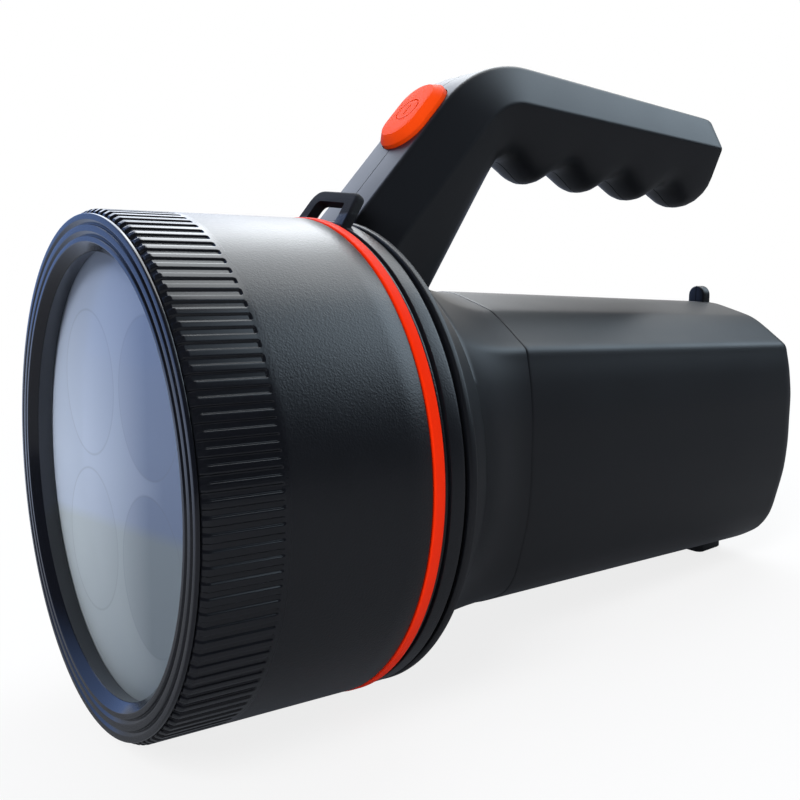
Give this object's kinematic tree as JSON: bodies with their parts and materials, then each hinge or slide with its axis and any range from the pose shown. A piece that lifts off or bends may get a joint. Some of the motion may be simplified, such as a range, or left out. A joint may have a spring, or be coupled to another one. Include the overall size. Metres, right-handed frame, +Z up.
{
  "type": "uv flashlight",
  "caption": "Hand-held UV flashlight with a wide fluted head, orange seal ring, tapered body and a cranked handle with finger grooves and a push button.",
  "frame": {"origin": "bottom centre of the bounding box of the torch, lying on its rear rim and foot", "axes": "+Y runs from the lens towards the tail, +Z is up, +X is the torch's right-hand side; the lens axis is tipped up by 4.8 degrees at the lens, because the torch rests on its rim and foot"},
  "size_m": [0.1326, 0.2504, 0.1739],
  "materials": {
    "satin_black": "satin, fine leather grain",
    "gloss_black": "glossy",
    "orange": "satin",
    "clear_lens": "clear, polished",
    "silver": "metallised, mirror bright",
    "rubber": "matte",
    "aluminium": "as extruded",
    "steel": "plain",
    "board_green": "circuit board",
    "board_white": "white faced metal board",
    "led_yellow": "clear coated",
    "cell_blue": "printed wrap",
    "inner_black": "plain",
    "lead_red": "insulated lead"
  },
  "bodies": {
    "housing": {"head_base": "satin_black", "right_shell": "satin_black", "left_shell": "satin_black", "reflector": "silver", "heat_sink": "aluminium", "head_screw_1": "steel", "head_screw_2": "steel", "head_screw_3": "steel", "led_board_screw_1": "steel", "led_board_screw_2": "steel", "led_board_screw_3": "steel", "led_board_screw_4": "steel", "shell_screw_1": "steel", "shell_screw_2": "steel", "shell_screw_3": "steel", "shell_screw_4": "steel", "shell_screw_5": "steel", "shell_screw_6": "steel", "driver_screw_1": "steel", "driver_screw_2": "steel", "driver_screw_3": "steel", "driver_screw_4": "steel", "cover_pin": "steel", "switch_board": "board_green", "driver_board": "board_green", "led_board": "board_white", "uv_led_1": "led_yellow", "uv_led_2": "led_yellow", "uv_led_3": "led_yellow", "uv_led_4": "led_yellow", "battery_cell_1": "cell_blue", "battery_cell_2": "cell_blue", "battery_cell_3": "cell_blue", "battery_cell_4": "cell_blue", "power_switch": "inner_black", "battery_holder": "inner_black", "driver_coil": "inner_black", "driver_chip": "inner_black", "charge_socket": "inner_black", "led_lead": "lead_red", "switch_lead": "lead_red", "charge_lead": "lead_red"},
    "head": {"head_barrel": "satin_black", "front_bezel": "gloss_black", "lens": "clear_lens", "lens_seal": "rubber"},
    "seal_ring": {"orange_ring": "orange"},
    "button": {"power_button": "orange", "switch_plunger": "inner_black"},
    "port_cover": {"charge_cover": "rubber"}
  },
  "joints": [
    {"name": "head_turn", "type": "hinge", "parent": "seal_ring", "child": "head", "pos_m": [0, -0.11988, 0.07136], "axis": [0, -0.9966, 0.083], "range_deg": [0, 1080]},
    {"name": "head_advance", "type": "slide", "parent": "housing", "child": "seal_ring", "axis": [0, -0.9966, 0.083], "range_m": [0, 0.009]},
    {"name": "button_press", "type": "slide", "parent": "housing", "child": "button", "axis": [0, 0.6926, -0.7213], "range_m": [0, 0.0015], "stiffness_N_per_m": 400, "springref_m": -0.001},
    {"name": "cover_open", "type": "hinge", "parent": "housing", "child": "port_cover", "pos_m": [0, 0.12373, 0.07465], "axis": [1, 0, 0], "range_deg": [0, 100]}
  ],
  "couplings": [
    {"joint": "head_advance", "follows": "head_turn", "m_per_rad": 0.00047746}
  ]
}
